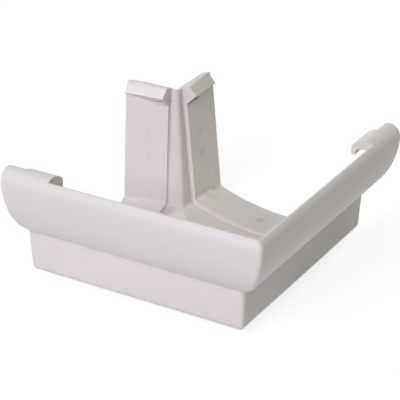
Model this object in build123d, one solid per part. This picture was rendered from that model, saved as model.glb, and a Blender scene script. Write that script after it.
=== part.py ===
"""External corner fitting for an ogee rain gutter, moulded in one piece.

Two arms meet at a right angle. Each arm is the same trough: a curved floor, a leaning back wall that goes against
the fascia, and a front with a low upright wall, a bulging ogee above it and a rolled top edge. The outer part of each
arm is a socket: pads step its inside inwards, a clip reaches over the gutter's front bead and a barbed nib holds
down the gutter's back edge.

A section is drawn with u running inwards from the outermost line of the bulge and h running up from the sole.
The arm along +X carries its section in the YZ plane. The arm along +Y is its mirror image in the plane x = y.
"""

import os
from math import atan2, cos, degrees, radians, sin, sqrt, tan

from build123d import *

# Overall sizes
arm_length = 164.4
section_width = 131.7
front_height = 80.8
back_height = 88.0

# Walls
wall = 2.5
pad_rise = 2.6
lip_round = 1.0

# Front: the bulge, the rolled top edge and the upright wall under them
bulge_radius = 51.0
bulge_tilt = 3.5
roll_radius = 7.3
foot_inset = 25.6
front_lean = 4.5
ledge_radius = 1.0
roll_stop_middle = -31.5
roll_stop_end = 25.0

# Floor and back wall
floor_radius = 147.0
sole_inset = 68.2
front_corner_radius = 7.2
back_corner_radius = 7.0
back_lean = 4.5
back_end_drop = 1.0

# Socket in each arm
socket_depth = 30.4
lead_in = 12.5
step_foot_radius = 1.5
pad_foot_radius = 3.0

# Clip over the gutter's front bead
clip_end_gap = 10.6
clip_reach = 16.5
clip_drop = 9.9
clip_leg = 2.7
clip_arch_drop = 5.6
clip_slope = 20.0
clip_radius = 4.2
clip_tip_radius = 1.1
clip_arch_radius = 2.3

# Nib on the back wall, tall at the socket's shoulder and low at the arm's end
nib_root = 1.7
nib_back_rise = 0.5
nib_top = (4.6, 1.2)
nib_crest = (7.5, 1.9)
nib_tip = (12.3, -3.1)
nib_foot_drop = 10.0
nib_end_back_rise = -0.6
nib_end_top = (3.5, -0.2)
nib_end_crest = (3.9, -2.5)
nib_end_tip = (7.4, -6.8)
nib_end_foot_drop = 8.8

# Hollow under the nib, behind its end face
nib_web = 1.2
hollow_length = 13.0
hollow_reach = 11.1
hollow_drop = 4.5
hollow_skin = 2.8

# Rounded edges at the mitre
outer_mitre_radius = 2.5
ridge_radius = 2.0

# Ejector marks, shallow round dents in the socket pads
pin_radius = 2.0
pin_depth = 0.3
pin_inset = 12.2
pin_heights = (42.7, 57.2)
pin_floor_inset = 81.9

shoulder = arm_length - socket_depth
floor_pad_end = arm_length - lead_in
clip_end = arm_length - clip_end_gap
seat = wall + pad_rise
pad_top = back_height - nib_foot_drop + 2.0

roll_centre = Vector(roll_radius, front_height - roll_radius)
bulge_offset = bulge_radius - roll_radius
bulge_centre = roll_centre + Vector(bulge_offset * cos(radians(bulge_tilt)), bulge_offset * sin(radians(bulge_tilt)))
floor_centre = Vector(sole_inset, floor_radius)
back_base = section_width - back_height * tan(radians(back_lean))


def leaning_point(base, lean, height, depth=0.0):
    """Point at a height on a leaning wall, a depth in from its outer line towards smaller u."""
    return Vector(base + height * tan(radians(lean)) - depth / cos(radians(lean)), height)


def meet_circle(base, lean, centre, radius):
    """Lower point where a leaning wall line meets a circle."""
    direction = Vector(sin(radians(lean)), cos(radians(lean)))
    start = Vector(base, 0) - centre
    along = start.X * direction.X + start.Y * direction.Y
    depth = along**2 - (start.X**2 + start.Y**2 - radius**2)
    return Vector(base, 0) + direction * (-along - sqrt(depth))


def bearing(point, centre):
    """Angle of a point seen from a centre, in degrees from 0 to 360."""
    return degrees(atan2(point.Y - centre.Y, point.X - centre.X)) % 360


ledge = meet_circle(foot_inset, -front_lean, bulge_centre, bulge_radius)
front_foot = meet_circle(foot_inset, -front_lean, floor_centre, floor_radius)
back_foot = meet_circle(back_base, back_lean, floor_centre, floor_radius)
back_top = leaning_point(back_base, back_lean, back_height)


def arc_between(centre, radius, start, end):
    """Arc from one bearing to another."""
    return CenterArc(centre, radius, start, end - start)


def outer_line(roll_stop, above=0.0):
    """Outside of the trough, from the rolled edge round the bulge and floor to the top of the back wall or above it."""
    joint = 180 + bulge_tilt
    top = leaning_point(back_base, back_lean, back_height + above)
    with BuildLine() as line:
        arc_between(roll_centre, roll_radius, 90 - roll_stop, joint)
        arc_between(bulge_centre, bulge_radius, joint, bearing(ledge, bulge_centre))
        Line(ledge, front_foot)
        arc_between(floor_centre, floor_radius, bearing(front_foot, floor_centre), bearing(back_foot, floor_centre))
        Line(back_foot, top)
        fillet(line.vertices().sort_by_distance(ledge)[0], ledge_radius)
        fillet(line.vertices().sort_by_distance(front_foot)[0], front_corner_radius)
        fillet(line.vertices().sort_by_distance(back_foot)[0], back_corner_radius)
    return line.wire()


def trough(roll_stop, thickness):
    """Section of the trough with square ends, as thick as asked."""
    return make_face(offset(outer_line(roll_stop), amount=thickness, side=Side.LEFT, closed=True).edges())


def walls(roll_stop):
    """Section of the plain trough wall with rounded top edges."""
    face = trough(roll_stop, wall)
    stop = radians(90 - roll_stop)
    front_end = roll_centre + Vector(cos(stop), sin(stop)) * (roll_radius - wall / 2)
    back_end = leaning_point(back_base, back_lean, back_height, wall / 2)
    corners = face.vertices().sort_by_distance(front_end)[:2] + face.vertices().sort_by_distance(back_end)[:2]
    return fillet(corners, lip_round)


def outline(*points):
    """Face with straight sides through the points."""
    return make_face(Polyline(*points, close=True).edges())


def rectangle(low, high):
    """Upright rectangle between two corners."""
    return outline(low, (high[0], low[1]), high, (low[0], high[1]))


def filled(edges):
    """Face inside an open line of edges, closed straight across its ends."""
    wire = Wire(edges)
    return make_face(wire.edges() + [Line(wire @ 1, wire @ 0).edge()])


def clip_section():
    """Section of the clip, from inside the roll over to the hanging leg."""
    start = radians(90 - clip_slope)
    crest = roll_centre + Vector(cos(start), sin(start)) * roll_radius
    middle = roll_radius - wall / 2
    rise = roll_radius - clip_arch_drop
    root = roll_centre + Vector(-sqrt(middle**2 - rise**2), rise)
    corner = Vector(clip_reach, crest.Y - (clip_reach - crest.X) * tan(radians(clip_slope)))
    tip = Vector(clip_reach, front_height - clip_drop)
    inner_tip = tip - Vector(clip_leg, 0)
    arch = Vector(inner_tip.X, root.Y)
    face = outline(root, roll_centre + Vector(0, roll_radius), crest, corner, tip, inner_tip, arch)
    face = fillet(face.vertices().sort_by_distance(corner)[:1], clip_radius)
    face = fillet(face.vertices().sort_by_distance(arch)[:1], clip_arch_radius)
    return fillet(face.vertices().sort_by_distance(tip)[:1] + face.vertices().sort_by_distance(inner_tip)[:1], clip_tip_radius)


def socket_pad():
    """Section of the socket's walls with the pad all round, up into the nib at the back."""
    return trough(0, seat) - rectangle((sole_inset, pad_top), (2 * section_width, 2 * pad_top))


def back_pad():
    """Section of the pad that runs on along the back wall to the arm's end, rounded into the floor."""
    slope = cos(radians(back_lean))
    corner = meet_circle(back_base - seat / slope, back_lean, floor_centre, floor_radius - wall)
    pad = outline(
        leaning_point(back_base, back_lean, corner.Y - wall / 2, wall / 2),
        leaning_point(back_base, back_lean, pad_top, wall / 2),
        leaning_point(back_base, back_lean, pad_top, seat),
        leaning_point(back_base, back_lean, corner.Y - wall / 2, seat),
    )
    padded = trough(0, wall) + pad
    padded = fillet(padded.vertices().sort_by_distance(corner)[:1], pad_foot_radius)
    return padded & rectangle((sole_inset, 0), (2 * section_width, pad_top))


def along(face, start, end):
    """Solid of a section from one station to another along the +X arm."""
    return extrude(Plane.YZ.offset(start) * face, amount=end - start)


def soft_step():
    """Wall and pad on both sides of the shoulder, with the foot of the step rounded, up to the roll and the nib."""
    run = 2 * step_foot_radius
    above = rectangle((-wall, roll_centre.Y), (sole_inset, 2 * pad_top))
    above += rectangle((sole_inset, pad_top), (2 * section_width, 2 * pad_top))
    body = along(trough(0, wall) - above, shoulder - run, shoulder)
    body += along(trough(0, seat) - above, shoulder, shoulder + run)
    inside = Wire(offset(outer_line(0), amount=wall, side=Side.LEFT, closed=False).edges())
    edges = [e for e in body.edges() if all(abs(p.X - shoulder) < 0.001 for p in (e @ 0, e @ 0.5, e @ 1))]
    edges = [e for e in edges if inside.distance_to(Vector((e @ 0.5).Y, (e @ 0.5).Z)) < 0.01]
    return fillet(edges, step_foot_radius)


def back_top_drop():
    """What the back wall's top edge loses where it falls towards the arm's end."""
    run = arm_length - floor_pad_end
    past = 1.2 * run
    side = Plane.XZ * outline(
        (floor_pad_end, back_height),
        (floor_pad_end + past, back_height - back_end_drop * past / run),
        (floor_pad_end + past, back_height + wall),
        (floor_pad_end, back_height + wall),
    )
    return extrude(side, amount=-2 * section_width)


def nib_section(back_rise, top, crest, tip, foot_drop):
    """Section of the nib, with its points measured inwards and upwards from the back wall's top corner."""
    return outline(
        back_top + Vector(-nib_root, -2 * nib_root),
        back_top + Vector(-nib_root, back_rise),
        back_top + Vector(-top[0], top[1]),
        back_top + Vector(-crest[0], crest[1]),
        back_top + Vector(-tip[0], tip[1]),
        leaning_point(back_base, back_lean, back_height - foot_drop, seat - 0.4),
        leaning_point(back_base, back_lean, back_height - foot_drop, wall),
    )


def nib():
    """Nib tapering from the shoulder to the arm's end."""
    near = nib_section(nib_back_rise, nib_top, nib_crest, nib_tip, nib_foot_drop)
    far = nib_section(nib_end_back_rise, nib_end_top, nib_end_crest, nib_end_tip, nib_end_foot_drop)
    near = Plane.YZ.offset(shoulder) * near
    far = Plane.YZ.offset(arm_length) * far
    return loft([near.face(), far.face()], ruled=True)


def nib_hollow():
    """Hollow under the nib and into the pad, deep behind the end face and fading out along the arm."""
    low = back_height - nib_foot_drop - 0.3
    high = back_height - hollow_drop
    inner = back_top.X - hollow_reach
    foot = leaning_point(back_base, back_lean, low, seat)
    near = outline(
        (inner, low),
        leaning_point(back_base, back_lean, low, hollow_skin),
        leaning_point(back_base, back_lean, high, hollow_skin),
        (inner, high),
    )
    far = outline(
        (foot.X - 0.6, low),
        leaning_point(back_base, back_lean, low, seat - 0.3),
        leaning_point(back_base, back_lean, low + 0.5, seat - 0.3),
        (foot.X - 0.6, low + 0.5),
    )
    start = Plane.YZ.offset(shoulder + nib_web) * near
    end = Plane.YZ.offset(shoulder + nib_web + hollow_length) * far
    return loft([start.face(), end.face()], ruled=True)


def pin_marks():
    """Shallow round dents of the ejector pins in the back pad and the floor pad."""
    station = shoulder + pin_inset
    marks = []
    for height in pin_heights:
        spot = leaning_point(back_base, back_lean, height, seat)
        normal = Vector(0, -cos(radians(back_lean)), sin(radians(back_lean)))
        marks.append(Plane(origin=(station, spot.X, spot.Y), z_dir=normal) * Cylinder(pin_radius, 2 * pin_depth))
    rise = sqrt((floor_radius - seat) ** 2 - (pin_floor_inset - sole_inset) ** 2)
    spot = Vector(pin_floor_inset, floor_radius - rise)
    normal = Vector(0, sole_inset - pin_floor_inset, rise)
    marks.append(Plane(origin=(station, spot.X, spot.Y), z_dir=normal) * Cylinder(pin_radius, 2 * pin_depth))
    return marks


def cut_at_mitre(body):
    """The part of a +X body on its own side of the mitre plane."""
    reach = 2 * arm_length
    half = outline((0, 0), (reach, reach), (reach, -reach), (0, -reach))
    return body & extrude(half, amount=2 * back_height)


def with_mirror(body):
    """A body cut at the mitre, joined with its mirror image."""
    return body + mirror(body, about=Plane(origin=(0, 0, 0), z_dir=(1, -1, 0)))


def mitre_edges(block, near, far):
    """Edges in the mitre plane whose middles lie between two distances from the outer corner."""
    edges = [e for e in block.edges() if all(abs(p.X - p.Y) < 0.001 for p in (e @ 0, e @ 0.5, e @ 1))]
    return [e for e in edges if near < (e @ 0.5).X < far]


def corner_waste():
    """What the rounded outer corner leaves off, from the lip down to the start of the floor."""
    low = front_corner_radius / 2
    high = front_height - 1.0
    depth = foot_inset + front_corner_radius
    section = filled(outer_line(0).edges()) & rectangle((-wall, low), (2 * depth, high))
    block = with_mirror(cut_at_mitre(along(section, 0, 3 * depth)))
    block = fillet(mitre_edges(block, -wall, depth + wall), outer_mitre_radius)
    around = Pos(-wall, -wall, low) * Box(depth + 2 * wall, depth + 2 * wall, high - low, align=Align.MIN)
    return around - block


def ridge_waste():
    """What the rounded ridge between the back walls leaves off, from the floor to above the top."""
    above = 3 * wall
    inside = filled(offset(outer_line(0, above), amount=wall, side=Side.LEFT, closed=False).edges())
    near = back_foot.X - back_corner_radius
    section = rectangle((near, 0), (section_width + 2 * seat, back_height + above)) - inside
    block = with_mirror(cut_at_mitre(along(section, 0, 2 * arm_length)))
    block = fillet(mitre_edges(block, near + 0.2, section_width + 1.0), ridge_radius)
    width = shoulder - step_foot_radius - 0.5 - near
    around = Pos(near, near, back_corner_radius) * Box(width, width, back_height, align=Align.MIN)
    return around - block


def arm():
    """The +X arm, cut off in the mitre plane."""
    clip = clip_section()
    body = along(walls(roll_stop_middle), 0, shoulder)
    body += along(walls(2 * clip_slope), shoulder, clip_end)
    body += along(socket_pad(), shoulder, floor_pad_end)
    body += soft_step()
    body += along(walls(roll_stop_end), clip_end, arm_length)
    body -= back_top_drop()
    body += along(back_pad(), floor_pad_end - 1.0, arm_length)
    body += along(clip, shoulder, clip_end)
    body += nib()
    body -= nib_hollow()
    for mark in pin_marks():
        body -= mark
    return cut_at_mitre(body)


shape = with_mirror(arm()) - corner_waste() - ridge_waste()
box = shape.bounding_box()
shape = Pos(-box.center().X, -box.center().Y, -box.min.Z) * shape
os.makedirs("parts", exist_ok=True)
export_step(shape, "parts/gutter_angle.step")
print("volume", round(shape.volume), "solids", len(shape.solids()), "valid", shape.is_valid)
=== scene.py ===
import math

import bpy
from mathutils import Matrix, Vector

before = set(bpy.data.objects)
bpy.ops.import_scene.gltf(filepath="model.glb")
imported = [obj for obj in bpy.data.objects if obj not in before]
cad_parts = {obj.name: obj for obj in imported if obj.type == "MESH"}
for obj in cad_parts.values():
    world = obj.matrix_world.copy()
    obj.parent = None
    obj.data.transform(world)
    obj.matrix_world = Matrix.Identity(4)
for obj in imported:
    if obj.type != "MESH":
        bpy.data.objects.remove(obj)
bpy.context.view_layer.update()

# The camera as fitted to the photograph, in metres and radians.
CAMERA_PLACE = (-0.738050, -0.444679, 0.482525)
CAMERA_AZIMUTH = 0.546121
CAMERA_ELEVATION = 0.467358
CAMERA_ROLL = -0.009099
CAMERA_LENS = 152.05
CAMERA_FILM_WIDTH = 36.0

# White PVC, a little warm, with a low sheen. Its grain is a fine bump, with the height in metres.
PVC_LIGHT = (0.797, 0.757, 0.743)
PVC_SHADE = (0.767, 0.729, 0.714)
PVC_IOR = 1.53
GRAIN_STRENGTH = 0.06
GRAIN_HEIGHT = 0.0002

# Soft darker patches in the pin marks, and painted shade in the corner between wall and floor of one
# socket:
# its place and radius in metres, and how dense it is.
DARK_PATCH_COLOR = (0.300, 0.275, 0.255)
PIN_MARK_PATCHES_AND_PAINTED_SHADE = (
    # Soft darker patches at the pin marks on the walls and the floor.
    ((0.0640, 0.0408, 0.0427), 0.0050, 0.22),
    ((0.0640, 0.0420, 0.0572), 0.0045, 0.10),
    ((0.0640, -0.0003, 0.0058), 0.0050, 0.30),
    # Painted shade in the corner of one socket, where the wall meets the floor.
    ((0.0638, 0.0376, 0.0150), 0.0050, 0.22),
    ((0.0648, 0.0335, 0.0134), 0.0065, 0.16),
    ((0.0408, 0.0640, 0.0427), 0.0040, 0.06),
)

# The floor: half its width in metres, its grey under light rays, and what the camera sees of it.
FLOOR_REACH = 1.6
FLOOR_GREY = (0.8, 0.8, 0.8, 1)
FLOOR_GLOW = 0.83
FLOOR_SHADOW_GREY = (0.28, 0.28, 0.28, 1)

WHITE = (1, 1, 1, 1)

# The even light from all round, and the place in metres that the lamps are turned to.
EVEN_LIGHT = 0.055
FITTING_MIDDLE = (0, 0, 0.04)

# Soft square lamps: name, place and width in metres, watts and colour.
LAMPS = (
    ("window_left", (-1.4745, 0.0, 1.0724), 0.8, 22.2, (0.963, 0.930, 1.0)),
    ("window_back", (0.0, 1.6314, 0.8007), 0.5, 12.6, (0.99, 1.0, 0.98)),
    ("lamp_right", (1.1023, -0.6364, 1.3128), 0.5, 7.4, (0.98, 1.0, 0.80)),
)


def node(tree, kind, place, **values):
    """Adds a shader node at a place on the sheet and sets its values by socket name."""
    made = tree.nodes.new(kind)
    made.location = place
    for name, value in values.items():
        made.inputs[name.replace("_", " ")].default_value = value
    return made


def new_group(name, inputs, outputs):
    """Starts a shader node group with its sockets. Gives the group, its input node and its output node."""
    group = bpy.data.node_groups.new(name, "ShaderNodeTree")
    for label, kind, start in inputs:
        socket = group.interface.new_socket(name=label, in_out="INPUT", socket_type=kind)
        socket.default_value = start
    for label, kind in outputs:
        group.interface.new_socket(name=label, in_out="OUTPUT", socket_type=kind)
    given = group.nodes.new("NodeGroupInput")
    given.location = (-900, 0)
    result = group.nodes.new("NodeGroupOutput")
    result.location = (500, 0)
    return group, given, result


def moulded_surface():
    """Node group for the skin of a moulding: faint cloudy colour, uneven sheen and a fine grain."""
    inputs = (
        ("Light", "NodeSocketColor", (*PVC_LIGHT, 1.0)),
        ("Shade", "NodeSocketColor", (*PVC_SHADE, 1.0)),
        ("Cloud Scale", "NodeSocketFloat", 28.0),
        ("Grain Scale", "NodeSocketFloat", 2600.0),
        ("Smooth", "NodeSocketFloat", 0.40),
        ("Rough", "NodeSocketFloat", 0.52),
    )
    outputs = (
        ("Color", "NodeSocketColor"),
        ("Roughness", "NodeSocketFloat"),
        ("Height", "NodeSocketFloat"),
    )
    group, given, result = new_group("moulded_surface", inputs, outputs)
    place = node(group, "ShaderNodeTexCoord", (-900, -300))
    cloud = node(group, "ShaderNodeTexNoise", (-600, 200), Detail=4.0, Roughness=0.55)
    grain = node(group, "ShaderNodeTexNoise", (-600, -200), Detail=2.0, Roughness=0.5)
    tint = group.nodes.new("ShaderNodeMix")
    tint.data_type = "RGBA"
    tint.location = (0, 200)
    sheen = node(group, "ShaderNodeMapRange", (0, -50))
    link = group.links.new
    link(place.outputs["Object"], cloud.inputs["Vector"])
    link(place.outputs["Object"], grain.inputs["Vector"])
    link(given.outputs["Cloud Scale"], cloud.inputs["Scale"])
    link(given.outputs["Grain Scale"], grain.inputs["Scale"])
    link(cloud.outputs["Fac"], tint.inputs["Factor"])
    link(given.outputs["Light"], tint.inputs["A"])
    link(given.outputs["Shade"], tint.inputs["B"])
    link(cloud.outputs["Fac"], sheen.inputs["Value"])
    link(given.outputs["Smooth"], sheen.inputs["To Min"])
    link(given.outputs["Rough"], sheen.inputs["To Max"])
    link(tint.outputs["Result"], result.inputs["Color"])
    link(sheen.outputs["Result"], result.inputs["Roughness"])
    link(grain.outputs["Fac"], result.inputs["Height"])
    return group


def dark_patch_and_painted_shade():
    """Node group for one soft round darker patch at a place on the fitting, used at the pin marks and as
    painted shade in a socket's corner.
    """
    inputs = (
        ("Color", "NodeSocketColor", (*PVC_LIGHT, 1.0)),
        ("Dark", "NodeSocketColor", (*DARK_PATCH_COLOR, 1.0)),
        ("Place", "NodeSocketVector", (0.0, 0.0, 0.0)),
        ("Radius", "NodeSocketFloat", 0.003),
        ("Density", "NodeSocketFloat", 0.2),
    )
    group, given, result = new_group("dark_patch_and_painted_shade", inputs, (("Color", "NodeSocketColor"),))
    here = node(group, "ShaderNodeTexCoord", (-900, -300))
    away = group.nodes.new("ShaderNodeVectorMath")
    away.operation = "DISTANCE"
    away.location = (-600, -200)
    patch = node(group, "ShaderNodeMapRange", (-300, -100), From_Min=0.0, To_Max=0.0)
    patch.interpolation_type = "SMOOTHSTEP"
    mix = group.nodes.new("ShaderNodeMix")
    mix.data_type = "RGBA"
    mix.location = (100, 100)
    link = group.links.new
    link(here.outputs["Object"], away.inputs[0])
    link(given.outputs["Place"], away.inputs[1])
    link(away.outputs["Value"], patch.inputs["Value"])
    link(given.outputs["Radius"], patch.inputs["From Max"])
    link(given.outputs["Density"], patch.inputs["To Min"])
    link(patch.outputs["Result"], mix.inputs["Factor"])
    link(given.outputs["Color"], mix.inputs["A"])
    link(given.outputs["Dark"], mix.inputs["B"])
    link(mix.outputs["Result"], result.inputs["Color"])
    return group


def white_pvc(surface, dark_patch_group):
    """The fitting's one material."""
    material = bpy.data.materials.new("white_pvc")
    material.use_nodes = True
    tree = material.node_tree
    shader = tree.nodes["Principled BSDF"]
    shader.inputs["IOR"].default_value = PVC_IOR
    skin = tree.nodes.new("ShaderNodeGroup")
    skin.node_tree = surface
    skin.location = (-600, 200)
    bump = node(tree, "ShaderNodeBump", (-300, -100), Strength=GRAIN_STRENGTH, Distance=GRAIN_HEIGHT)
    color = skin.outputs["Color"]
    # Darkens the colour in soft patches at the pin marks, and paints shade into one socket's corner.
    for step, (place, radius, density) in enumerate(PIN_MARK_PATCHES_AND_PAINTED_SHADE):
        patch = tree.nodes.new("ShaderNodeGroup")
        patch.node_tree = dark_patch_group
        patch.location = (-450, 450 + 220 * step)
        patch.inputs["Place"].default_value = place
        patch.inputs["Radius"].default_value = radius
        patch.inputs["Density"].default_value = density
        tree.links.new(color, patch.inputs["Color"])
        color = patch.outputs["Color"]
    tree.links.new(color, shader.inputs["Base Color"])
    tree.links.new(skin.outputs["Roughness"], shader.inputs["Roughness"])
    tree.links.new(skin.outputs["Height"], bump.inputs["Height"])
    tree.links.new(bump.outputs["Normal"], shader.inputs["Normal"])
    return material


def seen_white(tree, plain, shown):
    """Shows one shader to camera, glossy and transmission rays, and the plain one to the light."""
    path = tree.nodes.new("ShaderNodeLightPath")
    camera_or_glossy = tree.nodes.new("ShaderNodeMath")
    camera_or_glossy.operation = "MAXIMUM"
    any_seen = tree.nodes.new("ShaderNodeMath")
    any_seen.operation = "MAXIMUM"
    mix = tree.nodes.new("ShaderNodeMixShader")
    tree.links.new(path.outputs["Is Camera Ray"], camera_or_glossy.inputs[0])
    tree.links.new(path.outputs["Is Glossy Ray"], camera_or_glossy.inputs[1])
    tree.links.new(camera_or_glossy.outputs[0], any_seen.inputs[0])
    tree.links.new(path.outputs["Is Transmission Ray"], any_seen.inputs[1])
    tree.links.new(any_seen.outputs[0], mix.inputs["Fac"])
    tree.links.new(plain.outputs[0], mix.inputs[1])
    tree.links.new(shown.outputs[0], mix.inputs[2])
    return mix


def studio_world():
    """White backdrop to the camera, and an even grey light on the object."""
    world = bpy.data.worlds.new("studio")
    world.use_nodes = True
    tree = world.node_tree
    tree.nodes.clear()
    plain = node(tree, "ShaderNodeBackground", (-300, 0), Color=WHITE, Strength=EVEN_LIGHT)
    shown = node(tree, "ShaderNodeBackground", (-300, -200), Color=WHITE, Strength=1.0)
    mix = seen_white(tree, plain, shown)
    out = tree.nodes.new("ShaderNodeOutputWorld")
    tree.links.new(mix.outputs[0], out.inputs["Surface"])
    bpy.context.scene.world = world


def studio_floor():
    """Pale floor under the sole, white to the camera apart from the fitting's soft shadow."""
    mesh = bpy.data.meshes.new("floor")
    sides = ((-1, -1), (1, -1), (1, 1), (-1, 1))
    corners = [(FLOOR_REACH * x, FLOOR_REACH * y, 0) for x, y in sides]
    mesh.from_pydata(corners, [], [(0, 1, 2, 3)])
    floor = bpy.data.objects.new("floor", mesh)
    bpy.context.scene.collection.objects.link(floor)
    material = bpy.data.materials.new("pale_floor")
    material.use_nodes = True
    tree = material.node_tree
    tree.nodes.clear()
    plain = node(tree, "ShaderNodeBsdfDiffuse", (-600, 0), Color=FLOOR_GREY)
    glow = node(tree, "ShaderNodeEmission", (-600, -150), Color=WHITE, Strength=FLOOR_GLOW)
    soft = node(tree, "ShaderNodeBsdfDiffuse", (-600, -300), Color=FLOOR_SHADOW_GREY)
    shown = node(tree, "ShaderNodeAddShader", (-300, -200))
    tree.links.new(glow.outputs[0], shown.inputs[0])
    tree.links.new(soft.outputs[0], shown.inputs[1])
    mix = seen_white(tree, plain, shown)
    out = tree.nodes.new("ShaderNodeOutputMaterial")
    tree.links.new(mix.outputs[0], out.inputs["Surface"])
    mesh.materials.append(material)


def lamp(name, place, size, watts, color):
    """Soft square lamp at a place, turned towards the fitting."""
    light = bpy.data.lights.new(name, "AREA")
    light.shape = "SQUARE"
    light.size = size
    light.energy = watts
    light.color = color
    holder = bpy.data.objects.new(name, light)
    bpy.context.scene.collection.objects.link(holder)
    direction = Vector(FITTING_MIDDLE) - Vector(place)
    turn = direction.to_track_quat("-Z", "Y").to_matrix().to_4x4()
    holder.matrix_world = Matrix.Translation(place) @ turn


def photo_camera():
    """Camera with the photograph's place, direction, roll and lens."""
    data = bpy.data.cameras.new("photo_camera")
    data.sensor_width = CAMERA_FILM_WIDTH
    data.lens = CAMERA_LENS
    data.clip_start = 0.01
    data.clip_end = 20.0
    camera = bpy.data.objects.new("photo_camera", data)
    bpy.context.scene.collection.objects.link(camera)
    forward = Vector((
        math.cos(CAMERA_ELEVATION) * math.cos(CAMERA_AZIMUTH),
        math.cos(CAMERA_ELEVATION) * math.sin(CAMERA_AZIMUTH),
        -math.sin(CAMERA_ELEVATION),
    ))
    right = forward.cross(Vector((0, 0, 1))).normalized()
    up = right.cross(forward)
    turned_right = right * math.cos(CAMERA_ROLL) + up * math.sin(CAMERA_ROLL)
    turned_up = up * math.cos(CAMERA_ROLL) - right * math.sin(CAMERA_ROLL)
    axes = Matrix((turned_right, turned_up, -forward)).transposed().to_4x4()
    camera.matrix_world = Matrix.Translation(CAMERA_PLACE) @ axes
    bpy.context.scene.camera = camera


def dress(fitting, material):
    """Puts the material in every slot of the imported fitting."""
    if not fitting.material_slots:
        fitting.data.materials.append(material)
    for slot in fitting.material_slots:
        slot.material = material


dress(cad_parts["gutter_angle"], white_pvc(moulded_surface(), dark_patch_and_painted_shade()))
studio_world()
studio_floor()
for name, place, size, watts, color in LAMPS:
    lamp(name, place, size, watts, color)
photo_camera()
bpy.context.scene.view_settings.view_transform = "Standard"
